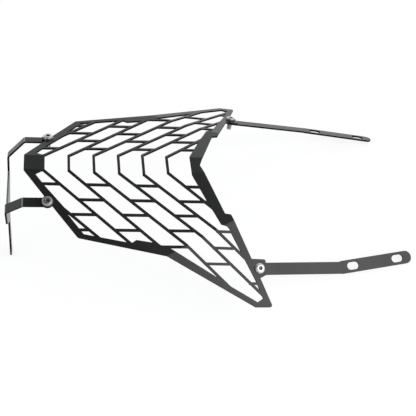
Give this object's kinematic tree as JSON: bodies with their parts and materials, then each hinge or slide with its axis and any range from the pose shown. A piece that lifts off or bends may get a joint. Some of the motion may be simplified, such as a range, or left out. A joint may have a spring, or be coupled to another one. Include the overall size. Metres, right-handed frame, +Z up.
{
  "type": "motorcycle headlight guard",
  "caption": "Folded lattice panel that guards a motorcycle headlight, on a front bracket with a leg and slotted rear straps.",
  "frame": {"origin": "on the ground under the middle of the object's box", "axes": "+Z up, +X towards the strap ends, -X towards the leg, +Y the object's right; the object mirrors about Y = 0"},
  "size_m": [0.4684, 0.2984, 0.1574],
  "materials": {
    "panel_coat": "black powder coat, satin",
    "bracket_coat": "black powder coat, satin",
    "strap_coat": "black powder coat, satin",
    "screw_steel": "bright stainless",
    "washer_steel": "bright stainless"
  },
  "bodies": {
    "root": {"grille_panel": "panel_coat", "front_bracket": "bracket_coat", "strap_left": "strap_coat", "strap_right": "strap_coat", "screw_front_left": "screw_steel", "washer_front_left": "washer_steel", "screw_front_right": "screw_steel", "washer_front_right": "washer_steel", "screw_rear_left": "screw_steel", "washer_rear_left": "washer_steel", "screw_rear_right": "screw_steel", "washer_rear_right": "washer_steel"}
  },
  "joints": []
}
